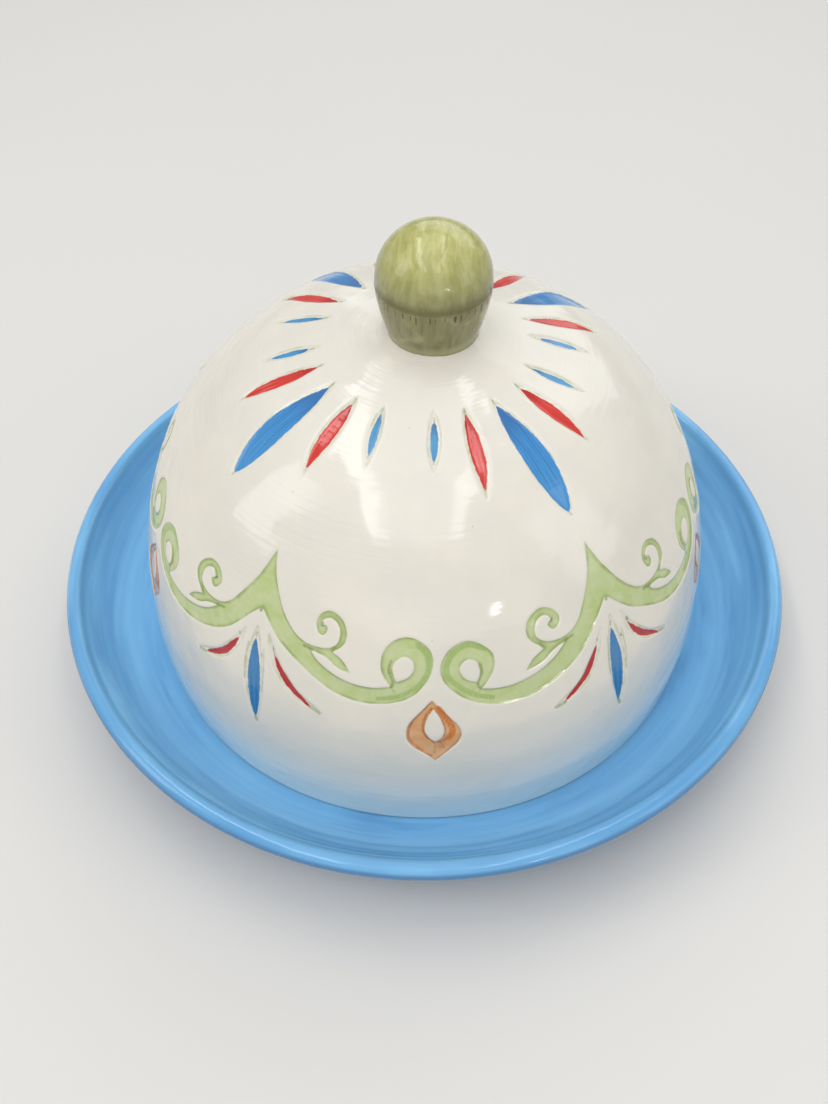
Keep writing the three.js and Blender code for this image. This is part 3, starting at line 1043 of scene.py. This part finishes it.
def knob_glaze():
    g = Glaze("knob_glaze", 0.11)
    mm = g.mm
    x, y, z = g.parts(mm)
    x = g.math("SUBTRACT", x, KNOB_X)
    radius = g.math("MAXIMUM", g.from_axis(x, y), 0.5)
    side_x, side_y = g.math("DIVIDE", x, radius), g.math("DIVIDE", y, radius)
    around = g.vector(side_x, side_y, z)

    # brush streaks: upright round the knob, front to back over its top
    round_it = g.noise(g.scaled(around, (7.0, 7.0, 0.12)), 1.0, 4, 0.6, 0.5)
    over_it = g.noise(g.scaled(mm, (0.42, 0.13, 0.1)), 1.0, 4, 0.6, 0.8)
    on_top = g.ease(z, KNOB_TOP - 14, KNOB_TOP - 4)
    upright = g.times(round_it, g.math("SUBTRACT", 1.0, on_top))
    streaks = g.plus(g.times(over_it, on_top), upright)
    blobs = g.noise(mm, 0.13, 3, 0.5, 0.6)
    # painted light: the knob turns lighter up over the ball towards its top, where the light from above falls
    high = g.ease(z, KNOB_TOP - 20, KNOB_TOP - 2)
    low_tone = g.mix(g.ease(streaks, 0.28, 0.72), rgb(117, 115, 77), rgb(143, 142, 99))
    lit_top_tone = g.mix(g.ease(streaks, 0.28, 0.72), rgb(168, 166, 98), rgb(198, 196, 130))
    tone = g.mix(high, low_tone, lit_top_tone)
    tone = g.mix(g.ease(blobs, 0.48, 0.75, 0.0, 0.5), tone, rgb(186, 186, 138))
    # painted shade and pooled glaze: darker in the crease under the ball's bulge
    over_crease = g.ease(z, CREASE_HEIGHT + 3.6, CREASE_HEIGHT + 0.4)
    crease = g.times(g.ease(z, CREASE_HEIGHT - 0.9, CREASE_HEIGHT), over_crease)
    tone = g.mix(g.times(crease, 0.7), tone, rgb(98, 96, 50))

    # short dark brush ticks below the crease
    turn = g.times(g.math("ARCTAN2", x, y), KNOB_TICKS / (2 * math.pi))
    jitter = g.noise(g.scaled(around, (6.0, 6.0, 0.0)), 1.0, 1)
    turn = g.plus(turn, g.times(jitter, 1.6))
    off = g.math("ABSOLUTE", g.math("SUBTRACT", g.math("FRACT", turn), 0.5))
    spread = g.vector(g.times(side_x, 14.0), g.times(side_y, 14.0), 3.0)
    length = g.noise(spread, 1.0, 1)
    foot = g.times(length, -5.2)
    below = g.math("SUBTRACT", z, CREASE_HEIGHT - 0.6)
    above_foot = g.ease(g.math("SUBTRACT", below, foot), 0.0, 0.5)
    tick = g.times(g.ease(off, 0.13, 0.05), above_foot)
    tick = g.times(tick, g.ease(below, 0.0, -0.3))
    tone = g.mix(g.times(tick, 0.8), tone, rgb(70, 68, 36))

    # paler where the glaze ran thin at the foot
    pale = g.ease(z, APEX + 3.5, APEX, 0.0, 0.65)
    tone = g.mix(pale, tone, rgb(176, 176, 132))
    g.colour(tone)
    soft = g.bump(g.noise(mm, 0.11, 2), 0.0012, 0.3)
    g.normal(g.bump(streaks, 0.0002, 0.5, soft))
    return g.material


# ---- the dome lid ------------------------------------------------------------

def dome_inside(azimuths):
    """The foot and the inner wall."""
    v = np.linspace(2.5, ARC[-1] - 3, INNER_ROWS)
    nr, nz = slope(v)
    r, z = at(v)
    wall = list(zip(r - nr * DOME_WALL, z - nz * DOME_WALL))
    outer, inner = float(at(FOOT_ROUND)[0]), float(at(0.0)[0]) - DOME_WALL
    centre = DOME_BASE + FOOT_ROUND
    foot = arc(outer - FOOT_ROUND, centre, FOOT_ROUND, 0, -90, 4)
    foot += arc(inner + FOOT_ROUND, centre, FOOT_ROUND, -90, -180, 4)
    verts, faces = lathe(foot + wall, azimuths, cap_last=True)
    verts[-1, 2] += 0.2
    return verts, [f[::-1] for f in faces]


def dome_cap():
    """The crown's plain middle, hidden below the knob."""
    azimuths = CROWN_START + np.arange(CAP_STEPS) * (360 / CAP_STEPS)
    uv = pairs(azimuths, float(arc_at_radius(CROWN_INNER)))
    ring = on_dome(uv, shape(uv, np.full(CAP_STEPS, FAR)))
    faces = [(CAP_STEPS, i, (i + 1) % CAP_STEPS) for i in range(CAP_STEPS)]
    return np.vstack([ring, [[0, 0, APEX + KNOB_FILLET]]]), faces


def make_lid(bare):
    outside, tri, layers = dome_mesh()
    azimuths = PEAK_AZIMUTH + SEAM + RING_STEP * np.arange(round(360 / RING_STEP))
    in_verts, in_faces = dome_inside(azimuths)
    cap_verts, cap_faces = dome_cap()
    n_out, n_in = len(outside), len(in_verts)
    verts = np.vstack([outside, in_verts, cap_verts])
    faces = [tuple(f) for f in tri]
    faces += [tuple(n_out + i for i in f) for f in in_faces]
    faces += [tuple(n_out + n_in + i for i in f) for f in cap_faces]
    lid = new_object("dome_lid_glazed", verts, faces, [dome_glaze(), inner_glaze(), bare])

    pad = len(verts) - n_out
    for name in LAYERS + ("rise",):
        set_layer(lid.data, name, np.concatenate([layers[name], np.full(pad, FAR)]))
    set_layer(lid.data, "grain", np.vstack([layers["grain"], np.zeros((pad, 3))]), "FLOAT_VECTOR")
    for name in ("tint", "ink_tint"):
        set_layer(lid.data, name, np.vstack([layers[name], np.zeros((pad, 4))]), "FLOAT_COLOR")

    slots = np.zeros(len(faces), int)
    slots[len(tri):len(tri) + len(in_faces)] = 1
    first, last = (len(tri) + row * len(azimuths) for row in BARE_ROWS)
    slots[first:last] = 2
    lid.data.polygons.foreach_set("material_index", slots)
    weld(lid, 0.00001)
    return lid


# ---- the plate ---------------------------------------------------------------

def underside():
    """The plate's outline from the middle of the underside, over the foot ring, to the lip."""
    out = [(14, FOOT_HEIGHT), (50, FOOT_HEIGHT), (FOOT_INNER - 2.6, FOOT_HEIGHT)]
    out += [(FOOT_INNER - 1.2, FOOT_HEIGHT - 0.5), (FOOT_INNER - 0.4, FOOT_HEIGHT - 1.6)]
    out += arc(FOOT_INNER + FOOT_EDGE, FOOT_EDGE, FOOT_EDGE, 180, 270, 4)
    out += arc(FOOT_OUTER - FOOT_EDGE, FOOT_EDGE, FOOT_EDGE, -90, 0, 4)
    out += [(FOOT_OUTER + 0.2, 2.2), (FOOT_OUTER + 0.6, 3.2), (FOOT_OUTER + 1.6, 4.0)]
    r0, z0 = out[-1]
    r1, z1 = arc(LIP_R, LIP_Z, LIP_RADIUS, LIP_FROM, LIP_FROM, 1)[0]
    for i in range(1, UNDERSIDE_ROWS):
        t = i / UNDERSIDE_ROWS
        out.append((r0 + (r1 - r0) * t, z0 + (z1 - z0) * t**UNDERSIDE_POWER))
    return out


def upper_side(top_r, top_z):
    """On from the lip: a fine groove below it, the slope with its turning ripples, and the well."""
    out = []
    for i in range(1, SLOPE_ROWS + 1):
        r = top_r + (WELL_RADIUS - top_r) * i / SLOPE_ROWS
        share = (r - WELL_RADIUS) / (top_r - WELL_RADIUS)
        z = WELL_FLOOR + (top_z - WELL_FLOOR) * share**SLOPE_POWER
        ripple = 0.07 * math.sin(r * 1.15) * math.sin(math.pi * share)
        groove = -0.35 * math.exp(-(((r - top_r + 0.9) / 0.55) ** 2))
        out.append((r, z + ripple + groove))
    for r in np.linspace(WELL_RADIUS, 10, 18)[1:]:
        out.append((float(r), WELL_FLOOR - 0.02 + 0.02 * math.cos(r * 0.9)))
    return out


def make_plate(bare):
    outline = underside() + arc(LIP_R, LIP_Z, LIP_RADIUS, LIP_FROM, LIP_TO, 22)
    outline += upper_side(*outline[-1])
    azimuths = np.arange(0, 360, 2.0)
    verts, faces = lathe(outline, azimuths, cap_first=True, cap_last=True)
    plate = new_object("plate_glazed", verts, faces, [plate_glaze(), bare])
    on_foot = [i for i, (r, z) in enumerate(outline) if z < 0.75 and FOOT_INNER - 1 < r < FOOT_OUTER + 1]
    slots = np.zeros(len(faces), int)
    slots[len(azimuths) * on_foot[0]:len(azimuths) * on_foot[-1]] = 1
    plate.data.polygons.foreach_set("material_index", slots)
    weld(plate, 0.000001)
    return plate


# ---- the knob ----------------------------------------------------------------

def knob_outline():
    cup = spline([(KNOB_BASE_RADIUS, 0), (14.7, 4.2), (15.8, 8.6), (16.5, 12.6), (16.75, 15.1)], 6)
    crease = [(16.72, 15.5), (16.62, 15.8), (16.56, 16.05), (16.58, 16.4), (BALL_RADIUS, 16.9)]
    out = [tuple(p) for p in cup] + crease
    for i in range(BALL_ROWS):
        a = math.radians(90 * i / BALL_ROWS)
        r = BALL_RADIUS * math.cos(a) ** BALL_POWER
        out.append((r, BALL_START + (KNOB_HEIGHT - BALL_START) * math.sin(a)))
    return [(float(r), APEX + float(z)) for r, z in out]


def make_knob():
    azimuths = np.arange(0, 360, 3.0)
    verts, faces = lathe(knob_outline(), azimuths, cap_first=True, cap_last=True)
    n = len(azimuths)
    verts[-1, 2] = KNOB_TOP
    # thrown by hand, so not quite round
    wobble = KNOB_WOBBLE * np.sin(2 * np.arctan2(verts[:, 1], verts[:, 0]) + 0.7)
    verts[:, :2] *= (1 + wobble)[:, None]
    verts[:, 0] += KNOB_X
    # the foot follows the dome's crown, and the lowest rings close up above it
    crown = at(arc_at_radius(np.clip(np.hypot(verts[:, 0], verts[:, 1]), 0, 60)))[1]
    verts[:n, 2] = crown[:n] - KNOB_SINK
    verts[-2, 2] = APEX - KNOB_SINK
    for i in range(1, 6):
        ring = slice(i * n, (i + 1) * n)
        verts[ring, 2] = np.maximum(verts[ring, 2], crown[ring] + 0.25 * i)
    knob = new_object("knob_glazed", verts, faces, [knob_glaze()])
    weld(knob, 0.000001)
    return knob


bare_clay = bisque()
lid = make_lid(bare_clay)
plate = make_plate(bare_clay)
knob = make_knob()

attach(lid, "lid")
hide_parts("dome_lid")
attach(knob, "lid")
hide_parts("knob")
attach(plate, "plate")
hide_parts("plate")

# ---- floor, light and camera -------------------------------------------------

FLOOR = 6.0               # metres from the middle to each side
CEILING = 1.2             # height of the overhead panels, in metres

floor_mesh = bpy.data.meshes.new("floor")
corners = [(-FLOOR, -FLOOR, 0), (FLOOR, -FLOOR, 0), (FLOOR, FLOOR, 0), (-FLOOR, FLOOR, 0)]
floor_mesh.from_pydata(corners, [], [(0, 1, 2, 3)])
floor = bpy.data.objects.new("floor", floor_mesh)
bpy.context.scene.collection.objects.link(floor)
ground = Glaze("floor_paper", 0.75, specular=0.25)
ground.colour(ground.mix(ground.noise(ground.place, 3.0, 2), rgb(222, 220, 216), rgb(226, 224, 220)))
floor_mesh.materials.append(ground.material)


def softbox(name, place, aim, width, height, power, colour=(1, 1, 1)):
    light = bpy.data.lights.new(name, "AREA")
    light.shape = "RECTANGLE"
    light.size, light.size_y = width, height
    light.energy = power
    light.color = colour
    obj = bpy.data.objects.new(name, light)
    obj.location = place
    obj.rotation_mode = "QUATERNION"
    obj.rotation_quaternion = (Vector(aim) - Vector(place)).to_track_quat("-Z", "Y")
    bpy.context.scene.collection.objects.link(obj)
    return obj


def overhead(name, x, y, width, length, radiance):
    """A flat panel above the dish, facing down, that shines with the given radiance."""
    power = radiance * math.pi * width * length
    softbox(name, (x, y, CEILING), (x, y - 0.0001, 0), width, length, power)


overhead("ceiling_front", -0.06, -0.53, 0.6, 0.92, 0.8)
overhead("ceiling_back", -0.06, 0.36, 0.6, 0.86, 0.95)
overhead("strip_left", -0.43, -0.2, 0.14, 1.58, 4.9)
overhead("strip_right", 0.29, -0.2, 0.09, 1.58, 4.2)
softbox("front_fill", (0.2, -1.6, 0.46), (0, 0, 0.02), 2.4, 0.5, 2.6, (1, 0.985, 0.96))
well_light = softbox("well_light", (-0.2, -0.75, 1.32), (0, -0.1, 0.02), 0.9, 0.6, 3.3, (1, 0.99, 0.97))
well_light.visible_glossy = False    # it fills the well and leaves no reflection
softbox("left_fill", (-1.3, -0.3, 0.9), (0, 0, 0.08), 0.5, 0.9, 3.4, (1, 0.98, 0.95))
softbox("right_fill", (1.3, -0.5, 0.7), (0, 0, 0.08), 0.7, 1.0, 2.6, (0.98, 0.99, 1))
softbox("back", (0.5, 1.5, 1.0), (0, 0, 0.08), 2.4, 1.2, 11.5, (0.96, 0.98, 1))
softbox("glint", (0.478, -0.931, 0.335), (0, 0, 0.1), 0.06, 0.03, 0.24)

world = bpy.data.worlds.new("studio")
bpy.context.scene.world = world
world.use_nodes = True
backdrop = world.node_tree.nodes["Background"]
backdrop.inputs["Color"].default_value = (0.97, 0.98, 1.0, 1)
backdrop.inputs["Strength"].default_value = 0.32
bpy.context.scene.view_settings.view_transform = "Standard"

CAMERA_PLACE = (0.0, -0.27116, 0.34288)
CAMERA_PITCH = 49.086     # degrees below the horizon
CAMERA_YAW = -0.742       # to the right of +Y
CAMERA_ROLL = -0.258
CAMERA_LENS = 37.78

camera_data = bpy.data.cameras.new("camera")
camera_data.sensor_width = 36
camera_data.lens = CAMERA_LENS
camera_data.dof.use_dof = False
camera_data.clip_start = 0.01
camera = bpy.data.objects.new("camera", camera_data)
bpy.context.scene.collection.objects.link(camera)
pitch, yaw, roll = (math.radians(a) for a in (CAMERA_PITCH, CAMERA_YAW, CAMERA_ROLL))
ahead = Vector((math.sin(yaw) * math.cos(pitch), math.cos(yaw) * math.cos(pitch), -math.sin(pitch)))
right = ahead.cross(Vector((0, 0, 1))).normalized()
up = right.cross(ahead)
right, up = right * math.cos(roll) + up * math.sin(roll), up * math.cos(roll) - right * math.sin(roll)
turned = Matrix((right, up, -ahead)).transposed().to_4x4()
turned.translation = Vector(CAMERA_PLACE)
camera.matrix_world = turned
bpy.context.scene.camera = camera
